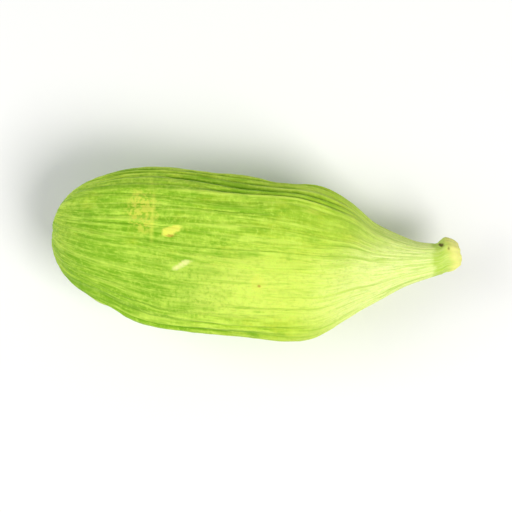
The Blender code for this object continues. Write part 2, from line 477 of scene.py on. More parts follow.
@dataclass(frozen=True)
class Beak:
    """The beak's uneven collar, frayed lip and notch, by distance past the neck in millimetres."""

    steps: int = 3
    first_inside: float = 5.2
    notch: Sector = Sector(37, 24)
    bead: Bump = Bump(0.14, 0.12, 0.045)
    notch_dip: Bump = Bump(0.24, 0.09, 0.09)
    uneven: Ripples = ((0.035, 2, 0.8), (0.020, 5, 2.0))
    ridge_height: float = 0.012
    ridges: int = 17
    ridge_bend: float = 3.0
    ridge_bends: int = 2
    filled: Step = Step(0, 0.4)
    lip_edge: Ripples = ((0.035, 3, 1.0), (0.012, 8, 0.0), (0.006, 13, 0.0))
    lip_start: Step = Step(0.3, 0.6)
    above: Sector = Sector(40, 55)
    waviness: Ripples = ((0.04, 5, 0.0), (0.03, 11, 1.0))
    cap_start: Step = Step(0.34, 0.42)
    cap_above: float = 0.22
    stub_start: Step = Step(-0.30, 0.22)
    stub_waves: float = 1.5
    lip_pale: Step = Step(0.42, 0.42)
    lip_above: float = 0.12
    groove: Bump = Bump(0.23, 0.075)
    groove_turn: Bump = Bump(36, 17)
    groove_slant: float = 0.004
    spot: Bump = Bump(0.49, 0.08, 0.55)
    spot_turn: Sector = Sector(68, 8)

    def collar(self, past: Array, angle: Array) -> Array:
        """How much wider the beak is than its plain profile: filled out but for one notch."""
        bent = self.ridges * angle + self.ridge_bend * np.sin(self.ridge_bends * angle)
        uneven = ripples(angle, self.uneven) + self.ridge_height * np.sin(bent)
        bead = self.bead.at(past) - self.notch_dip.at(past) * self.notch.at(angle)
        return bead + uneven * self.filled.at(past)

    def frayed(self, past: Array, angle: Array) -> Array:
        """How far the lip's uneven edge stands out beyond a level one."""
        return ripples(angle, self.lip_edge) * self.lip_start.at(past)

    def masks(self, past: Array, angle: Array, on_beak: Array) -> dict[Mask, Array]:
        """Where the beak is green stub, cream cap, brown notch with painted groove shadow, or
        brown hollow.

        Args:
            past: How far past the neck each place is.
            angle: Its angle round the pod.
            on_beak: Whether its ring is on the beak.

        Returns:
            The masks of the beak.
        """
        rings = np.cumsum(on_beak, axis=0) / self.steps
        inside = smooth_step(rings - self.first_inside) + 0 * angle
        above, wavy = self.above.at(angle), ripples(angle, self.waviness)
        cap = self.cap_start.at(past + self.cap_above * above + wavy)
        lip = self.lip_pale.at(past + self.lip_above * above + wavy)
        stub = self.stub_start.at(past + self.stub_waves * wavy) * (1 - cap)
        # The groove line at the notch is brown, darkened with painted shadow; the spot beside it
        # is brown.
        across = np.degrees(angle)
        slant = self.groove_slant * (across - self.groove_turn.middle)
        groove = self.groove.at(past - slant) * self.groove_turn.at(across)
        spot = self.spot.at(past) * self.spot_turn.at(angle)
        outside = {Mask.STUB: stub, Mask.CAP: cap, Mask.LIP: lip}
        outside[Mask.NOTCH] = np.maximum(groove, spot)
        masks = {mask: share * (1 - inside) for mask, share in outside.items()}
        return {**masks, Mask.HOLLOW: inside}


@dataclass
class Skin:
    """The husk's skin as a grid: its places in millimetres, its masks and its rib coordinates."""

    places: Array
    masks: dict[Mask, Array]
    fibres: Array
    scar: Array
    floor: Array


@dataclass(frozen=True)
class HuskShape:
    """Works out the husk's skin from its form, its ribs and the marks of drying."""

    form: PodForm = PodForm()
    ribs: Ribs = Ribs()
    folds: tuple[Fold, ...] = (
        Fold(5.0, 0, 0.07, 1.2, 25),
        Fold(7.6, 0, -0.10, 1.2, 25),
        Fold(9.6, 0, 0.08, 1.0, 25),
        Fold(11.5, 0, -0.12, 1.0, 25),
        Fold(13.2, 5, 0.12, 1.0, 25),
        Fold(11.0, 32, -0.14, 3.6, 13),
        Fold(3.2, 180, -0.20, 0.6, 25),
        Fold(9.5, 180, -0.09, 1.2, 30),
        Fold(12.2, 180, 0.05, 1.2, 30),
    )
    marks: tuple[Mark, ...] = (
        Mark(Mask.PATCH, 4.50, 1.25, 1.4, 2.0, shake=0.22, edge=1.4),
        Mark(Mask.PATCH, 11.8, 0.9, 3.4, 1.5, 5, below=True, shake=0.4, edge=1.2),
        Mark(Mask.SCRATCH, 5.00, 1.25, 0.16, 2.7, 2, shake=0.06, edge=1.0),
        Mark(Mask.SCAB, 5.90, 0.44, 1.00, 0.42, 16, 0.03, shake=0.28, edge=1.0),
        Mark(Mask.SCAB, 8.3, -2.4, 0.5, 0.3, 12, 0.02, below=True),
        Mark(Mask.STREAK, 6.56, -1.14, 1.00, 0.26, 28, 0.02, shake=0.10, edge=1.1),
        Mark(Mask.HALO, 10.14, -1.82, 0.70, 0.80, shake=0.2, edge=1.2),
        Mark(Mask.HALO, 12.60, 1.70, 0.85, 0.30, -8, edge=1.4, strength=0.6),
        Mark(Mask.HALO, 14.45, 0.72, 0.26, 0.20, edge=1.4, strength=0.6),
        Mark(Mask.HALO, 13.1, 1.2, 0.6, 0.4, below=True, edge=1.2),
        Mark(Mask.BURN, 5.96, 0.24, 0.46, 0.15, 6, shake=0.12),
        Mark(Mask.BURN, 10.20, -1.96, 0.17, 0.13),
        Mark(Mask.BURN, 13.0, 1.15, 0.2, 0.16, below=True),
        Mark(Mask.BURN, 8.4, -2.2, 0.3, 0.12, 12, below=True),
    )
    mark_seed: int = 5
    columns_per_rib: int = 12
    base_rings: int = 50
    body_rings: int = 106
    rest_depth: float = 0.26
    scar: StalkScar = StalkScar()
    beak: Beak = Beak()
    pucker: float = 0.022
    pucker_paces: tuple[float, float, float] = (2.3, 2.3, 1.5)
    pucker_room: Step = Step(0.6, 2.0)
    fine_pace: float = 2.3
    fine_start: float = 17.0
    fine_share: float = 0.55

    @property
    def rib_count(self) -> int:
        """How many ribs run round the whole pod."""
        return self.ribs.per_valve * self.form.valves

    def rings(self) -> tuple[Array, Array, Array]:
        """Lays the rings out from the scar, over the base and body, to the floor of the hollow.

        Returns:
            Each ring's angle from the scar, its distance along and its beak radius, which is 0
            before the beak.
        """
        form = self.form
        angles = QUARTER_TURN * (np.arange(1, self.base_rings + 1) / self.base_rings)
        body = np.linspace(form.base_length, form.neck_end, self.body_rings + 1)[1:]
        knots = len(form.beak_profile)
        steps = np.linspace(0, knots - 1, (knots - 1) * self.beak.steps + 1)
        past, radius = (
            smooth_curve(tuple(enumerate(values)), steps) for values in zip(*form.beak_profile)
        )
        from_scar = np.concatenate([angles, np.full(len(body) + len(past), QUARTER_TURN)])
        along = np.concatenate([np.zeros(len(angles)), body, form.neck_end + past])
        beak = np.concatenate([np.zeros(len(angles) + len(body)), radius])
        return from_scar[:, None], along[:, None], beak[:, None]

    def rib_angle(self, count: Array, along: Array, phase: Array) -> Array:
        """The angle of a line at this rib count: evenly round the pod, but for the wander.

        Args:
            count: The rib count of each column.
            along: Each place's distance along the pod.
            phase: The phase of each rib's wander.

        Returns:
            The angle round the pod of each place.
        """
        ribs = self.ribs
        before = np.floor(count).astype(int)
        share = count - before
        sway = [
            np.sin(ribs.sway * along + phase[(before + i) % self.rib_count]) for i in (0, 1)
        ]
        wander = ribs.wander * ((1 - share) * sway[0] + share * sway[1])
        return ribs.first_seam + FULL_TURN * (count + wander - 0.5) / self.rib_count

    def skin(self) -> Skin:
        """Works out every place of the skin, with its masks.

        Returns:
            The finished skin, with its rest spot pressed flat.
        """
        form, ribs = self.form, self.ribs
        columns = self.rib_count * self.columns_per_rib
        count = (np.arange(columns) / self.columns_per_rib)[None, :]
        from_scar, along, beak = self.rings()
        strength, phase = ribs.traits(self.rib_count)

        run = np.maximum(along, form.base_length * from_scar / QUARTER_TURN)
        angle = self.rib_angle(count, np.where(along > 0, along, run), phase)
        back, size, angle = form.swung(from_scar, angle)
        along = np.maximum(along, form.base_length * (1 - back))
        share = np.minimum(along, form.neck_end) / form.length
        left = smooth_curve(form.left_edge, share) * form.width / 2
        right = smooth_curve(form.right_edge, share) * form.width / 2
        on_beak = beak > 0
        past = along - form.neck_end
        middle = (left + right) / 2
        rise = form.beak_rise * smooth_step(past / form.beak_rise_length)
        middle = middle + np.where(on_beak, rise, 0.0)
        bulge = form.lip_bulge * smooth_step(past) * np.sin(angle) ** 2
        along = along + np.where(on_beak, bulge + self.beak.frayed(past, angle), 0.0)
        beak = beak + np.where(on_beak, self.beak.collar(past, angle), 0.0)
        half_width = np.where(on_beak, beak, (left - right) / 2)
        half_height = np.where(on_beak, beak, smooth_curve(form.swell, share) * form.height / 2)
        lobed = (half_width - form.round_half_width) / (
            form.lobed_half_width - form.round_half_width
        )
        side, up = form.section(angle, form.lobe_share * smooth_step(lobed))
        fibres = self.fibre_space(count, from_scar, along)
        masks, raised = self.relief(count, angle, along, from_scar, half_width, strength)
        raised = raised + self.wrinkles(fibres, half_width)

        turn = form.beak_turn * smooth_step(
            (along - form.beak_turn_start) / form.beak_turn_length
        )
        y = size * (half_width * side + raised * np.cos(angle))
        z = size * (half_height * up + raised * np.sin(angle))
        x = along - back * raised - y * np.sin(turn)
        y = middle + y
        noise.seed_set(self.mark_seed)
        for mark in self.marks:
            shade = mark.shade(x, y, z)
            masks[mark.kind] = np.maximum(masks.get(mark.kind, 0.0), shade)
            z = z + mark.height * shade
        masks.update(self.beak.masks(past, angle, on_beak))
        places = np.stack([x, y, z], axis=-1)

        scar = np.array(self.scar_place())
        floor = places[-1].mean(axis=0)
        floor[0] = form.neck_end + form.hollow_floor
        level = places[..., 2].min() + self.rest_depth
        places[..., 2] = np.maximum(places[..., 2], level)
        return Skin(places, masks, fibres, scar, floor)

    def scar_place(self) -> tuple[float, float, float]:
        """The middle of the stalk scar."""
        form = self.form
        back, out = math.cos(form.scar_angle), math.sin(form.scar_angle)
        along = form.base_length * (1 - back)
        share = np.array(along / form.length)
        left, right = (
            float(smooth_curve(edge, share)) * form.width / 2
            for edge in (form.left_edge, form.right_edge)
        )
        half_width = (left - right) / 2 - self.scar.depth
        half_height = float(smooth_curve(form.swell, share)) * form.height / 2 - self.scar.depth
        return (
            along + back * self.scar.depth,
            (left + right) / 2 + out * half_width * math.cos(form.scar_bearing),
            out * half_height * math.sin(form.scar_bearing),
        )

    def fibre_space(self, count: Array, from_scar: Array, along: Array) -> Array:
        """Coordinates that follow the ribs and meet themselves after a full turn.

        Args:
            count: The rib count of each column.
            from_scar: Each ring's angle from the scar.
            along: Each place's distance along the pod.

        Returns:
            A point for each place: two coordinates round the pod and one along its ribs.
        """
        radius = self.form.width / 2
        turn = FULL_TURN * count / self.rib_count
        over_base = from_scar * radius
        run = over_base + np.maximum(along - self.form.base_length, 0.0)
        side, up = radius * np.cos(turn), radius * np.sin(turn)
        return np.stack(np.broadcast_arrays(side, up, run), axis=-1)

    def wrinkles(self, fibres: Array, half_width: Array) -> Array:
        """Small puckers between the ribs, a little longer along them than across.

        Args:
            fibres: Coordinates that follow the ribs.
            half_width: Half the width of each ring.

        Returns:
            The height of the puckers in millimetres.
        """
        points = fibres.reshape(-1, 3) * self.pucker_paces
        coarse = np.array([noise.noise(p) for p in points])
        fine = np.array([noise.noise(p) for p in points * self.fine_pace + self.fine_start])
        both = (coarse + self.fine_share * fine).reshape(fibres.shape[:2])
        return self.pucker * self.pucker_room.at(half_width) * both

    def relief(
        self,
        count: Array,
        angle: Array,
        along: Array,
        from_scar: Array,
        half_width: Array,
        strength: Array,
    ) -> tuple[dict[Mask, Array], Array]:
        """Height of the skin against the smooth husk: ribs, creases, seams, keels and folds.

        Args:
            count: The rib count of each column.
            angle: The angle round the pod of each place.
            along: Its distance along.
            from_scar: Its ring's angle from the scar.
            half_width: Half the width of its ring.
            strength: Each rib's strength.

        Returns:
            The masks of the relief, and its height in millimetres.
        """
        ribs = self.ribs
        spacing = FULL_TURN * half_width * np.sin(from_scar) / self.rib_count
        room = smooth_step(spacing / ribs.full_spacing)
        nearest = np.round(count).astype(int)
        rib = nearest % self.rib_count
        gap = np.floor(count).astype(int) % self.rib_count
        flank = ribs.flank.at(angle)
        edge = flank + ribs.lower_edge.at(angle) * ribs.lower_edge_end.at(along)
        edge = np.clip(edge, 0, 1)
        beside = np.clip(edge + ribs.underside.at(angle), 0, 1)
        calm = ribs.calm_on_top + (1 - ribs.calm_on_top) * beside
        calm = calm * (1 - ribs.neck_calming * ribs.neck_calm.at(along))
        base = ribs.base_strength + (1 - ribs.base_strength) * ribs.base_calm.at(along)
        calm = calm * base

        waves = math.prod(slow_wave(along, rib, wave) for wave in ribs.lift_waves)
        lift = ribs.lift[0] + ribs.lift[1] * waves
        off = count - nearest
        narrow = 1 / (1 + (off / ribs.half_width) ** 2)
        broad = (1 + np.cos(FULL_TURN * off)) / 2
        crest = ribs.roundness * broad + (1 - ribs.roundness) * narrow
        crest_height = ribs.height * strength[rib] * lift * calm
        veins = np.cos(FULL_TURN * ribs.veins * count) * slow_wave(along, gap, ribs.vein_wave) ** 2
        dip = bell((off - np.copysign(0.5, off)) / ribs.crease_half_width)
        uneven = slow_wave(along, gap, ribs.crease_wave) ** 2 * strength[gap]
        cut = ribs.crease_least + (1 - ribs.crease_least) * uneven
        cut = cut * calm * (ribs.crease_on_top + ribs.crease_on_edge * edge)
        from_seam = (count - 0.5 + self.rib_count / 6) % ribs.per_valve - self.rib_count / 6
        pair = bell((np.abs(from_seam) - ribs.seam_offset) / ribs.seam_half_width)
        seam = pair * (1 - ribs.seam_fading * ribs.seam_fade.at(along))
        keels = sum(keel.at(angle) for keel in ribs.keels)
        deep = sum(line.height * line.shown(count, along) for line in ribs.deep_creases)
        ridge = ribs.ridge.shown(count, along)
        bumps = sum(
            height * np.sin(pace * along + turns * angle + phase)
            for height, pace, turns, phase in ribs.seed_bumps
        )
        rim = math.prod([ribs.rim.at(angle), *(end.at(along) for end in ribs.rim_ends)])
        scar_masks, scar = self.scar.relief(from_scar, FULL_TURN * count / self.rib_count)
        raised = room * (
            crest_height * (crest - 1)
            + ribs.vein_height * veins
            - ribs.crease_depth * cut * dip
            - ribs.seam_depth * seam
            - deep
            + ribs.ridge.height * ridge
            + ribs.keel_height * keels
            + bumps
        )
        raised = raised + sum(fold.raised(along, angle) for fold in self.folds)
        by_dip, by_seam, by_deep = ribs.crease_shades
        crease = np.clip(by_dip * dip * cut + by_seam * seam + by_deep * deep, 0, 1)
        flat = np.zeros_like(angle)
        # The crest mask also carries the ridge's painted highlight, and the crease mask sets where
        # painted shade darkens the creases.
        masks = {
            Mask.CREST: narrow * lift * strength[rib] * room + ribs.ridge_painted_highlight * ridge + flat,
            Mask.CREASE: crease * room + flat,
            Mask.RIM: rim,
            Mask.FLANK: flank,
        }
        return {**masks, **scar_masks}, raised + ribs.rim_height * rim + scar


def operator(operation: str, swapped: bool = False) -> Callable[["Wire", Operand], "Wire"]:
    """Makes an operator that adds a Math node.

    Args:
        operation: The Math node's operation.
        swapped: Whether it is the reflected form, with the wire on the right.

    Returns:
        The operator, as a method of Wire.
    """

    def apply(self: "Wire", other: Operand) -> "Wire":
        """Adds the Math node and returns its result."""
        values = (other, self) if swapped else (self, other)
        return self.nodes.add("ShaderNodeMath", {"operation": operation}, values)

    return apply


@dataclass
class Wire:
    """A shader socket that takes part in Python arithmetic."""

    nodes: "ShaderBench"
    socket: bpy.types.NodeSocket

    __add__, __radd__ = operator("ADD"), operator("ADD", swapped=True)
    __sub__, __rsub__ = operator("SUBTRACT"), operator("SUBTRACT", swapped=True)
    __mul__, __rmul__ = operator("MULTIPLY"), operator("MULTIPLY", swapped=True)
    __truediv__, __rtruediv__ = operator("DIVIDE"), operator("DIVIDE", swapped=True)

    def rise(self, start: float, end: float) -> "Wire":
        """A smooth rise of the wire's value, or a fall where end is below start.

        Args:
            start: The value where the result is 0.
            end: The value where it is 1.

        Returns:
            The result, from 0 to 1.
        """
        settings = {"interpolation_type": "SMOOTHSTEP"}
        values = {"Value": self, "From Min": min(start, end), "From Max": max(start, end)}
        if start > end:
            values |= {"To Min": 1.0, "To Max": 0.0}
        return self.nodes.add("ShaderNodeMapRange", settings, values)


@dataclass
class ShaderBench:
    """Builds one material's nodes."""

    tree: bpy.types.NodeTree

    def add(
        self,
        kind: str,
        settings: Mapping[str, Any] | None = None,
        values: Mapping[Any, Any] | Sequence[Any] = (),
        output: int | str = 0,
    ) -> Wire:
        """Adds any node.

        Args:
            kind: The node's type.
            settings: Its settings, which are set first.
            values: What its inputs hold or are wired to, by name or number, or in order.
            output: Which output to return.

        Returns:
            The chosen output.
        """
        node = self.tree.nodes.new(kind)
        for name, setting in (settings or {}).items():
            setattr(node, name, setting)
        pairs = values.items() if isinstance(values, Mapping) else enumerate(values)
        for key, value in pairs:
            self.feed(node.inputs[key], value)
        return Wire(self, node.outputs[output])

    def feed(self, socket: bpy.types.NodeSocket, value: Any) -> None:
        """Wires a value into a socket, or sets the socket to it."""
        if isinstance(value, Wire):
            self.tree.links.new(value.socket, socket)
        elif isinstance(value, tuple) and socket.type == "RGBA":
            socket.default_value = (*value, 1.0)
        else:
            socket.default_value = value

    def layered(self, colour: Wire | Colour, layers: Sequence[Layer]) -> Wire:
        """Lays colours over a colour, one after another.

        Args:
            colour: The colour below.
            layers: Each colour above it, and how much of that covers, from 0 to 1.

        Returns:
            The blended colour.
        """
        settings = {"data_type": "RGBA", "clamp_factor": True}
        for over, amount in layers:
            colour = self.add("ShaderNodeMix", settings, {0: amount, 6: colour, 7: over}, 2)
        return colour

    def mask(self, mask: Mask) -> Wire:
        """Reads a mask from the mesh."""
        settings = {"attribute_name": mask.value, "attribute_type": "GEOMETRY"}
        return self.add("ShaderNodeAttribute", settings, (), "Fac")

    def axis(self, vector: Wire, number: int) -> Wire:
        """One number of a vector: 0 for x, 1 for y and 2 for z."""
        return self.add("ShaderNodeSeparateXYZ", {}, (vector,), number)

    def millimetres(self, number: int) -> Wire:
        """One of a place's own coordinates in millimetres, from the middle of the pod."""
        place = self.add("ShaderNodeTexCoord", {}, (), "Object")
        return self.axis(place, number) / METRES


@dataclass(frozen=True)
class Rise:
    """A smooth rise of a value from start to end, or a fall where end is below start."""

    start: float
    end: float
    amount: float = 1.0

    def of(self, value: Wire) -> Wire:
        """How far this value has risen, times the amount."""
        risen = value.rise(self.start, self.end)
        return risen if self.amount == 1 else self.amount * risen


@dataclass(frozen=True)
class Grain:
    """A noise that follows the ribs: its stretches, its scale, its make-up and its bump."""

    around: float
    along: float
    scale: float
    detail: float
    rough: float
    bump: float = 0.0

    def read(self, bench: ShaderBench, fibres: Wire) -> Wire:
        """Reads the noise, from 0 to 1, at coordinates that follow the ribs."""
        shares = (self.around, self.around, self.along)
        place = bench.add("ShaderNodeVectorMath", {"operation": "MULTIPLY"}, (fibres, shares))
        values = {"Vector": place, "Scale": self.scale, "Detail": self.detail}
        values["Roughness"] = self.rough
        return bench.add("ShaderNodeTexNoise", {}, values, "Fac")


@dataclass
class HuskWires:
    """What the husk's colours are worked out from: places, noises and how strongly they show."""

    bench: ShaderBench
    x: Wire
    y: Wire
    rough: Wire
    pale: Wire
    thread: Wire
    dash: Wire
    line: Wire
    thin: Wire
    pucker: Wire
    speckle: Wire
    blotch: Wire
    warm: Wire
    cool: Wire


@dataclass(frozen=True)
class MarkTint:
    """How a mark is coloured: by how much, and how the speckle and the dashes break it up."""

    mask: Mask
    colour: Colour
    plain: float
    speckle: float
    dash: float
    cover: Rise

    def amount(self, at: HuskWires) -> Wire:
        """How much of the colour covers at each place."""
        worn = self.plain + self.speckle * at.speckle + self.dash * at.dash
        return self.cover.of(at.bench.mask(self.mask) * worn)


@dataclass(frozen=True)
class HuskFinish:
    """The dry green husk: fibrous, dull and mottled, yellower on its belly, pale at its neck.

    Places are in millimetres from the middle of the pod: x towards its beak, y to its left. Its
    colours also hold painted light, painted shade and painted highlights.
    """

    base_green: Colour = (0.250, 0.485, 0.017)
    # The belly's yellower green, partly painted light; also laid as painted light on the upper
    # flank and the nose end.
    belly_green_and_painted_light: Colour = (0.540, 0.700, 0.052)
    # Painted light: the pale pool on the lower side of the top, towards the key lamp.
    painted_light_pale: Colour = (0.740, 0.860, 0.150)
    neck_pale: Colour = (0.900, 0.975, 0.380)
    crest_pale: Colour = (0.620, 0.820, 0.105)
    # Painted shade in the creases, seams and deep creases.
    crease_painted_shade: Colour = (0.130, 0.310, 0.004)
    deep_green: Colour = (0.185, 0.400, 0.008)
    warm_green: Colour = (0.520, 0.600, 0.020)
    fleck_pale: Colour = (0.580, 0.800, 0.090)
    cream: Colour = (0.860, 0.860, 0.340)
    # Painted highlight along the raised rim at the lower edge near the base.
    rim_painted_highlight: Colour = (0.660, 0.820, 0.150)
    soft_green: Colour = (0.430, 0.650, 0.045)
    cap_cream: Colour = (0.640, 0.680, 0.100)
    lip_cream: Colour = (0.840, 0.830, 0.255)
    stub_green: Colour = (0.440, 0.620, 0.070)
    yellow_patch: Colour = (0.620, 0.660, 0.075)
    scab_yellow: Colour = (0.790, 0.820, 0.110)
    halo_yellow: Colour = (0.740, 0.800, 0.110)
    # Painted shade over the lower side of the base half.
    painted_shade_green: Colour = (0.200, 0.410, 0.012)
    brown: Colour = (0.340, 0.130, 0.014)
    # Brown of the notch, darkened with painted shadow in its groove.
    notch_brown_and_painted_shadow: Colour = (0.090, 0.060, 0.004)
    hollow_brown: Colour = (0.080, 0.028, 0.008)

    thread: Grain = Grain(1.0, 0.10, 5.5, 3.0, 0.60, bump=0.55)
    dash: Grain = Grain(1.0, 0.42, 2.8, 2.0, 0.55, bump=0.6)
    line: Grain = Grain(1.0, 0.07, 3.4, 2.0, 0.50)
    thin: Grain = Grain(1.0, 0.08, 14.0, 2.0, 0.60, bump=0.3)
    pucker: Grain = Grain(0.8, 2.20, 3.2, 2.0, 0.55, bump=0.7)
    speckle: Grain = Grain(1.0, 1.00, 6.0, 2.0, 0.60, bump=0.45)
    blotch: Grain = Grain(1.0, 1.00, 0.45, 2.0, 0.50)
    warm: Grain = Grain(1.0, 1.00, 0.8, 2.0, 0.50)
    cool: Grain = Grain(1.0, 0.60, 1.1, 1.0, 0.50)

    neck_calm: Rise = Rise(-0.5, 6.0)
    neck_calming: float = 0.5
    quiet_from: Rise = Rise(-5.0, -2.5)
    quiet_to: Rise = Rise(6.5, 4.5)
    quiet_below: Rise = Rise(0.2, -0.7)
    lowest_below: Rise = Rise(-2.2, -2.8)
    lowest_to: Rise = Rise(2.5, 0.5)
    quieting: float = 0.4
    least_pale: float = 0.72
    pale_from: Rise = Rise(-7.0, -1.0, 0.28)
    pale_tip: Rise = Rise(-8.2, -9.6, 0.28)

    drift: float = 3.0
    body_along: Rise = Rise(-8.0, 6.0, 0.25)
    belly_drift: float = 0.4
    # The belly: partly its own yellower green, partly painted light on the side towards the key
    # lamp.
    belly_along: Rise = Rise(-6.0, 2.5, 0.75)
    belly_across: Rise = Rise(3.2, -0.8)
    warm_spots: Rise = Rise(0.5, 0.75, 0.5)
    cool_spots: Rise = Rise(0.52, 0.75, 0.22)
    # Where the pool of painted light lies along and across the top, fading at the lowest edge.
    glow_along: Rise = Rise(-7.0, -2.2, 0.66)
    glow_across: Rise = Rise(1.2, -1.0)
    glow_edge: Rise = Rise(-3.5, -2.4)
    # How much painted light lightens the upper flank.
    flank_cover: float = 0.65
    # Where the painted shade lies: towards the base end and the lower side.
    shade_drift: float = 0.3
    shade_along: Rise = Rise(-0.5, -6.5, 0.95)
    shade_across: Rise = Rise(1.2, -1.6)
    # How much painted light lightens the nose end.
    tip_cover: Rise = Rise(-8.4, -9.6, 0.5)
    neck_slope: float = 0.1
    neck_ridge: Rise = Rise(-0.1, 1.4, 1.3)
    neck_cover: Rise = Rise(1.8, 7.2)

    belly_flecks: Rise = Rise(-4.5, 0.5, 0.7)
    dash_dark: Rise = Rise(0.5, 0.7, 0.8)
    dash_pale: Rise = Rise(0.5, 0.3, 0.55)
    pucker_dark: Rise = Rise(0.5, 0.72, 0.25)
    pucker_pale: Rise = Rise(0.5, 0.3, 0.15)
    speckle_dark: Rise = Rise(0.48, 0.76, 0.8)
    speckle_pale: Rise = Rise(0.5, 0.28, 0.55)

    thread_pale: Rise = Rise(0.5, 0.75, 0.3)
    crest_plain: float = 1.3
    crest_break: float = 0.8
    crest_cover: Rise = Rise(0.25, 0.95)
    crest_shown: float = 0.55
    crest_on_flank: float = 0.6
    # How strongly painted shade darkens the creases, more on the upper flank.
    crease_plain: float = 0.5
    crease_cover: Rise = Rise(0.15, 1.0, 0.8)
    crease_on_flank: Rise = Rise(1.5, 2.6, 0.35)

    line_dark: Rise = Rise(0.49, 0.30, 0.9)
    line_dark_plain: float = 0.25
    line_pale: Rise = Rise(0.51, 0.70, 0.75)
    line_pale_plain: float = 1.2
    line_soft: Rise = Rise(0.53, 0.38, 0.28)
    thin_soft: Rise = Rise(0.5, 0.35, 0.28)
    thin_dark: Rise = Rise(0.5, 0.3, 0.4)
    thin_pale: Rise = Rise(0.5, 0.7, 0.4)

    blotch_speckle: float = 0.6
    blotch_cover: Rise = Rise(0.58, 0.42, 0.9)
    patch_plain: float = 0.25
    patch_cover: Rise = Rise(0.1, 1.0, 0.8)
    scratch_plain: float = 0.4
    scratch_speckle: float = 0.9
    scratch_cover: float = 0.55
    stains_and_rim_highlight: tuple[MarkTint, ...] = (
        MarkTint(Mask.HALO, halo_yellow, 0.5, 1.0, 0.0, Rise(0.1, 0.9, 0.45)),
        MarkTint(Mask.SCAB, scab_yellow, -0.5, 1.6, 1.2, Rise(0.05, 0.8, 0.9)),
        MarkTint(Mask.STREAK, cream, 0.35, 1.1, 0.0, Rise(0.1, 1.0, 0.8)),
        MarkTint(Mask.BURN, brown, 0.6, 0.8, 0.0, Rise(0.1, 0.9, 0.6)),
        # Not a stain: the painted highlight along the raised rim near the base.
        MarkTint(Mask.RIM, rim_painted_highlight, 0.7, 0.0, 0.6, Rise(0.1, 0.9, 0.55)),
    )

    scar_cover: float = 0.95
    slit_cover: float = 0.85
    mottle: Rise = Rise(0.4, 0.6)
    stub_cover: float = 0.95
    stub_break: float = 0.35
    cap_speckle: Rise = Rise(0.4, 0.65, 0.7)
    cap_plain: float = 0.4
    cap_unmottled: float = 0.3
    lip_plain: float = 0.7
    notch_cover: Rise = Rise(0.15, 0.7, 0.92)

    roughness: float = 0.55
    thread_roughness: float = 0.16
    hollow_roughness: float = 0.2
    crease_roughness: float = 0.35
    bump_strength: float = 0.5
    bump_distance: float = 0.00006
    fixed_inputs: tuple[tuple[str, float | Colour], ...] = (
        ("Specular IOR Level", 0.16),
        ("Sheen Weight", 0.06),
        ("Sheen Roughness", 0.4),
        ("Sheen Tint", (0.85, 1.0, 0.6)),
        ("Subsurface Weight", 0.12),
        ("Subsurface Radius", (0.5, 1.0, 0.15)),
        ("Subsurface Scale", 0.0004),
    )

    def material(self) -> bpy.types.Material:
        """Makes the husk's material.

        Returns:
            The finished material.
        """
        made = bpy.data.materials.new("green_husk")
        made.use_nodes = True
        bench = ShaderBench(made.node_tree)
        at = self.wires(bench)
        colour = self.ground(at)
        for add in (self.mottled, self.fibres, self.lines, self.marks, self.ends):
            colour = add(at, colour)
        dull = self.hollow_roughness * bench.mask(Mask.HOLLOW)
        dull = dull + self.crease_roughness * bench.mask(Mask.CREASE)
        height = self.thread.bump * at.thread + self.dash.bump * at.dash + self.thin.bump * at.thin
        small = self.speckle.bump * at.speckle + self.pucker.bump * at.pucker
        values = {"Height": height + at.rough * small, "Strength": self.bump_strength}
        values["Distance"] = self.bump_distance
        shader = made.node_tree.nodes["Principled BSDF"]
        bench.feed(shader.inputs["Base Color"], colour)
        rough = self.roughness + self.thread_roughness * at.thread + dull
        bench.feed(shader.inputs["Roughness"], rough)
        bench.feed(shader.inputs["Normal"], bench.add("ShaderNodeBump", {}, values))
        for name, value in self.fixed_inputs:
            bench.feed(shader.inputs[name], value)
        return made

    def wires(self, bench: ShaderBench) -> HuskWires:
        """Reads the places and the noises, and works out how strongly the fibres show.

        Args:
            bench: Where the nodes go.

        Returns:
            The wires. The fibres show in full on the base and less on the lower belly and the
            neck, and the pale ones show least on the darker base, but for its tip.
        """
        settings = {"attribute_name": "fibres", "attribute_type": "GEOMETRY"}
        fibres = bench.add("ShaderNodeAttribute", settings, (), "Vector")
        grains = {name: grain for name, grain in vars(self).items() if isinstance(grain, Grain)}
        noises = {name: grain.read(bench, fibres) for name, grain in grains.items()}
        x, y = bench.millimetres(0), bench.millimetres(1)
        lowest = self.lowest_below.of(y) * self.lowest_to.of(x)
        quiet = self.quiet_from.of(x) * self.quiet_to.of(x) * self.quiet_below.of(y)
        quiet = quiet * (1 - lowest)
        rough = (1 - self.neck_calming * self.neck_calm.of(x)) * (1 - self.quieting * quiet)
        pale = self.least_pale + (self.pale_from.of(x) + self.pale_tip.of(x))
        return HuskWires(bench, x, y, rough, pale, **noises)

    def ground(self, at: HuskWires) -> Wire:
        """The husk's broad colours, from the green base to the pale neck, with painted light and
        shade.

        Args:
            at: The husk's wires.

        Returns:
            The ground colour.
        """
        x, y = at.x, at.y
        drift = self.drift * (at.blotch - NOISE_MIDDLE)
        along, across = x + drift, y - self.belly_drift * drift
        # The belly is partly its own yellower green, partly painted light towards the key lamp.
        belly = self.belly_along.of(along) * self.belly_across.of(across)
        # Painted light: a pale pool on the lower side of the top, fading at the lowest edge.
        glow = self.glow_along.of(along) * self.glow_across.of(across) * self.glow_edge.of(y)
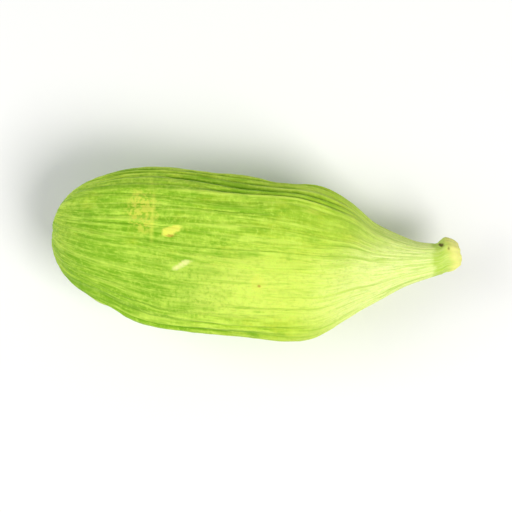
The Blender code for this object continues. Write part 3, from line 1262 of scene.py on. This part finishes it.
        # Painted shade: darkens the base half towards its lower side.
        shade = self.shade_along.of(along) * self.shade_across.of(y - self.shade_drift * drift)
        neck = x + self.belly_drift * drift - self.neck_slope * y - self.neck_ridge.of(y)
        layers = (
            (self.belly_green_and_painted_light, self.body_along.of(along) + belly),
            (self.warm_green, self.warm_spots.of(at.warm)),
            (self.deep_green, self.cool_spots.of(at.cool)),
            (self.painted_light_pale, glow),
            # Painted light on the upper flank, which faces away from the key lamp.
            (self.belly_green_and_painted_light, self.flank_cover * at.bench.mask(Mask.FLANK)),
            (self.painted_shade_green, shade),
            # Painted light on the nose end.
            (self.belly_green_and_painted_light, self.tip_cover.of(x)),
            (self.neck_pale, self.neck_cover.of(neck)),
        )
        return at.bench.layered(self.base_green, layers)

    def mottled(self, at: HuskWires, colour: Wire) -> Wire:
        """Adds the mottling of the husk.

        Args:
            at: The husk's wires.
            colour: The colour so far.

        Returns:
            The colour with dark and pale flecks of three sizes.
        """
        belly = 1 - self.belly_flecks.of(at.x)
        layers = (
            (self.deep_green, self.dash_dark.of(at.dash) * at.rough * at.rough),
            (self.fleck_pale, self.dash_pale.of(at.dash) * at.rough * at.pale),
            (self.deep_green, self.pucker_dark.of(at.pucker) * belly),
            (self.fleck_pale, self.pucker_pale.of(at.pucker) * at.rough * at.pale),
            (self.deep_green, self.speckle_dark.of(at.speckle) * belly),
            (self.fleck_pale, self.speckle_pale.of(at.speckle) * at.rough * at.pale),
        )
        return at.bench.layered(colour, layers)

    def fibres(self, at: HuskWires, colour: Wire) -> Wire:
        """Adds the fibres of the husk.

        Args:
            at: The husk's wires.
            colour: The colour so far.

        Returns:
            The colour with fine threads, pale rib crests, the ridge's painted highlight and
            painted shade in the creases.
        """
        mask = at.bench.mask
        crest = mask(Mask.CREST) * (self.crest_plain - self.crest_break * at.dash)
        shown = self.crest_shown + self.crest_on_flank * mask(Mask.FLANK)
        crease = mask(Mask.CREASE) * (self.crease_plain + at.thread)
        sharp = at.rough + self.crease_on_flank.of(at.y)
        layers = (
            (self.crest_pale, self.thread_pale.of(at.thread) * at.rough * at.pale),
            # Pale rib crests, with a painted highlight along the ridge.
            (self.crest_pale, shown * self.crest_cover.of(crest) * at.pale),
            # Painted shade in the creases, stronger on the upper flank.
            (self.crease_painted_shade, self.crease_cover.of(crease) * sharp),
        )
        return at.bench.layered(colour, layers)

    def lines(self, at: HuskWires, colour: Wire) -> Wire:
        """Adds the long lines of the husk.

        Args:
            at: The husk's wires.
            colour: The colour so far.

        Returns:
            The colour with uneven lines, dark, soft and pale, and a thin fibre.
        """
        dark = self.line_dark.of(at.line) * (self.line_dark_plain + at.dash)
        soft = (self.line_soft.of(at.line) + self.thin_soft.of(at.thin)) * self.neck_calm.of(at.x)
        pale = self.line_pale.of(at.line) * (self.line_pale_plain - at.dash) * at.pale
        layers = (
            (self.deep_green, dark * at.rough),
            (self.soft_green, soft),
            (self.crest_pale, pale * at.rough),
            (self.deep_green, self.thin_dark.of(at.thin) * at.rough),
            (self.fleck_pale, self.thin_pale.of(at.thin) * at.rough),
        )
        return at.bench.layered(colour, layers)

    def marks(self, at: HuskWires, colour: Wire) -> Wire:
        """Adds the marks of the husk.

        Args:
            at: The husk's wires.
            colour: The colour so far.

        Returns:
            The colour with the yellow patches, the scratch, the stains and the rim's painted
            highlight.
        """
        mask = at.bench.mask
        blotches = self.blotch_speckle * at.speckle + (1 - self.blotch_speckle) * at.dash
        patch = mask(Mask.PATCH) * (self.patch_plain + self.blotch_cover.of(blotches))
        scratch = mask(Mask.SCRATCH) * (self.scratch_plain + self.scratch_speckle * at.speckle)
        layers = (
            (self.yellow_patch, self.patch_cover.of(patch)),
            (self.scab_yellow, self.scratch_cover * scratch),
            *((mark_tint.colour, mark_tint.amount(at)) for mark_tint in self.stains_and_rim_highlight),
        )
        return at.bench.layered(colour, layers)

    def ends(self, at: HuskWires, colour: Wire) -> Wire:
        """Adds the two ends of the pod.

        Args:
            at: The husk's wires.
            colour: The colour so far.

        Returns:
            The colour with the stalk scar, the stub, the cap, its notch with painted groove
            shadow, and the hollow.
        """
        mask = at.bench.mask
        mottle, lip = self.mottle.of(at.dash), mask(Mask.LIP)
        mottled = self.cap_unmottled + (1 - self.cap_unmottled) * mottle
        green = (1 - lip) * (self.cap_plain + self.cap_speckle.of(at.speckle)) * mottled
        bright = lip * (self.lip_plain + (1 - self.lip_plain) * at.speckle)
        on_cap = ((self.stub_green, green), (self.lip_cream, bright))
        layers = (
            (self.cream, self.scar_cover * mask(Mask.SCAR)),
            (self.brown, self.slit_cover * mask(Mask.SCAR_SLIT)),
            (self.stub_green, mask(Mask.STUB) * (self.stub_cover - self.stub_break * mottle)),
            (at.bench.layered(self.cap_cream, on_cap), mask(Mask.CAP)),
            # The notch: brown, with painted shadow in its groove.
            (self.notch_brown_and_painted_shadow, self.notch_cover.of(mask(Mask.NOTCH))),
            (self.hollow_brown, mask(Mask.HOLLOW)),
        )
        return at.bench.layered(colour, layers)


@dataclass
class CardamomHusk:
    """The whole pod: one closed skin with its ribs, beak and scar."""

    name: str = "ribbed_husk"
    shape: HuskShape = field(default_factory=HuskShape)
    finish: HuskFinish = field(default_factory=HuskFinish)

    def build(self) -> bpy.types.Object:
        """Builds the husk's mesh.

        Returns:
            The husk, lying on its rest spot with the middle of its box over the origin.
        """
        skin = self.shape.skin()
        rows, columns = skin.places.shape[:2]
        points = np.vstack([skin.places.reshape(-1, 3), skin.scar, skin.floor])
        low, high = points.min(axis=0), points.max(axis=0)
        points -= ((low[0] + high[0]) / 2, (low[1] + high[1]) / 2, low[2])
        mesh = bpy.data.meshes.new(self.name)
        mesh.from_pydata((points * METRES).tolist(), [], self.faces(rows, columns))
        self.store(mesh, skin)
        self.unwrap(mesh, rows, columns)
        mesh.shade_smooth()
        husk = bpy.data.objects.new(self.name, mesh)
        bpy.context.scene.collection.objects.link(husk)
        return husk

    @staticmethod
    def faces(rows: int, columns: int) -> list[tuple[int, ...]]:
        """The skin's faces: squares between the rings, and a fan of triangles at each pole."""
        scar, floor = rows * columns, rows * columns + 1
        found: list[tuple[int, ...]] = []
        for c in range(columns):
            beside = (c + 1) % columns
            found.append((scar, beside, c))
            last = (rows - 1) * columns
            found.append((floor, last + c, last + beside))
            for r in range(rows - 1):
                low, high = r * columns, (r + 1) * columns
                found.append((low + c, low + beside, high + beside, high + c))
        return found

    @staticmethod
    def store(mesh: bpy.types.Mesh, skin: Skin) -> None:
        """Stores the skin's masks and its rib coordinates on the mesh."""
        for mask, values in skin.masks.items():
            stored = mesh.attributes.new(mask.value, "FLOAT", "POINT")
            first, last = values[0].mean(), values[-1].mean()
            numbers = np.concatenate([values.ravel(), [first, last]]).astype(np.float32)
            stored.data.foreach_set("value", numbers)
        stored = mesh.attributes.new("fibres", "FLOAT_VECTOR", "POINT")
        ends = np.stack([skin.fibres[0].mean(axis=0), skin.fibres[-1].mean(axis=0)])
        points = np.vstack([skin.fibres.reshape(-1, 3), ends]).astype(np.float32)
        stored.data.foreach_set("vector", points.ravel())

    @staticmethod
    def unwrap(mesh: bpy.types.Mesh, rows: int, columns: int) -> None:
        """Lays the skin out flat: columns across the map and rings up it."""
        corners = np.zeros(len(mesh.loops), dtype=np.int32)
        mesh.loops.foreach_get("vertex_index", corners)
        starts = np.zeros(len(mesh.polygons), dtype=np.int32)
        mesh.polygons.foreach_get("loop_start", starts)
        sizes = np.diff(np.append(starts, len(corners)))
        across = (corners % columns).astype(float)
        upward = corners // columns + 1.0
        poles = corners >= rows * columns
        upward[corners == rows * columns] = 0.0
        upward[corners == rows * columns + 1] = rows + 1.0
        widest = np.maximum.reduceat(np.where(poles, 0.0, across), starts)
        wraps = np.repeat(widest == columns - 1, sizes) & (across == 0) & ~poles
        across[wraps] = columns
        lowest = np.minimum.reduceat(np.where(poles, columns, across), starts)
        across[poles] = np.repeat(lowest, sizes)[poles] + 0.5
        layer = mesh.uv_layers.new(name="OFBake")
        flat = np.stack([across / columns, upward / (rows + 1)], axis=1)
        layer.uv.foreach_set("vector", flat.astype(np.float32).ravel())

    def dress(self, husk: bpy.types.Object) -> None:
        """Gives the husk its finish, its place on the frame and its material slot."""
        husk.data.materials.append(self.finish.material())
        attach(husk, "root")
        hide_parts("cardamom_pod")


@dataclass(frozen=True)
class Lamp:
    """A soft square lamp that points at the pod, in millimetres and watts."""

    name: str
    place: tuple[float, float, float]
    size: float
    watts: float
    colour: Colour = (1.0, 1.0, 1.0)

    def build(self, target: Vector) -> None:
        """Hangs the lamp and points it at the target."""
        data = bpy.data.lights.new(self.name, "AREA")
        data.size = self.size * METRES
        data.energy = self.watts
        data.color = self.colour
        lamp = bpy.data.objects.new(self.name, data)
        lamp.location = Vector(self.place) * METRES
        lamp.rotation_euler = (target - lamp.location).to_track_quat("-Z", "Y").to_euler()
        bpy.context.scene.collection.objects.link(lamp)


@dataclass(frozen=True)
class Studio:
    """A pale floor, soft lamps and a camera straight above the pod, in millimetres."""

    floor_size: float = 900.0
    floor_colour: Colour = (0.86, 0.86, 0.85)
    sky_colour: Colour = (0.92, 0.95, 1.0)
    sky_strength: float = 0.34
    lamps: tuple[Lamp, ...] = (
        Lamp("key_lamp", (80.0, -58.0, 150.0), 90.0, 0.250, (1.0, 0.98, 0.94)),
        Lamp("fill_lamp", (-130.0, 10.0, 120.0), 120.0, 0.15),
    )
    floor_roughness: float = 0.9
    pod_middle: float = 3.5
    lens: float = 135.0
    frame_width: float = 25.0
    nearest_share: float = 0.01
    farthest_share: float = 100.0
    roll: float = math.radians(3.2)

    def build(self) -> None:
        """Sets the stage, the light and the camera."""
        self.lay_floor()
        self.light_world()
        target = Vector((0.0, 0.0, self.pod_middle)) * METRES
        for lamp in self.lamps:
            lamp.build(target)
        self.place_camera()
        bpy.context.scene.view_settings.view_transform = "Standard"

    def lay_floor(self) -> None:
        """Lays the floor and gives it its pale material."""
        half = self.floor_size * METRES / 2
        corners = [(-half, -half, 0), (half, -half, 0), (half, half, 0), (-half, half, 0)]
        mesh = bpy.data.meshes.new("floor")
        mesh.from_pydata(corners, [], [(0, 1, 2, 3)])
        floor = bpy.data.objects.new("floor", mesh)
        bpy.context.scene.collection.objects.link(floor)
        made = bpy.data.materials.new("pale_floor")
        made.use_nodes = True
        shader = made.node_tree.nodes["Principled BSDF"]
        shader.inputs["Base Color"].default_value = (*self.floor_colour, 1.0)
        shader.inputs["Roughness"].default_value = self.floor_roughness
        mesh.materials.append(made)

    def light_world(self) -> None:
        """Gives the world an even, soft light."""
        world = bpy.data.worlds.new("soft_sky")
        world.use_nodes = True
        sky = world.node_tree.nodes["Background"]
        sky.inputs["Color"].default_value = (*self.sky_colour, 1.0)
        sky.inputs["Strength"].default_value = self.sky_strength
        bpy.context.scene.world = world

    def place_camera(self) -> None:
        """Hangs the camera straight above the pod, turned as the photograph is."""
        data = bpy.data.cameras.new("camera")
        data.lens = self.lens
        height = self.frame_width * self.lens / data.sensor_width
        data.clip_start = self.nearest_share * METRES * height
        data.clip_end = self.farthest_share * METRES * height
        camera = bpy.data.objects.new("camera", data)
        camera.location = (0.0, 0.0, (height + self.pod_middle) * METRES)
        camera.rotation_euler = (0.0, 0.0, self.roll)
        bpy.context.scene.collection.objects.link(camera)
        bpy.context.scene.camera = camera


def main() -> None:
    """Builds the pod and its studio."""
    logging.basicConfig(level=logging.INFO, format="%(name)s: %(message)s")
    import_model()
    pod = CardamomHusk()
    husk = pod.build()
    pod.dress(husk)
    log.info("%s: %d faces", husk.name, len(husk.data.polygons))
    Studio().build()


if __name__ == "__main__":
    main()
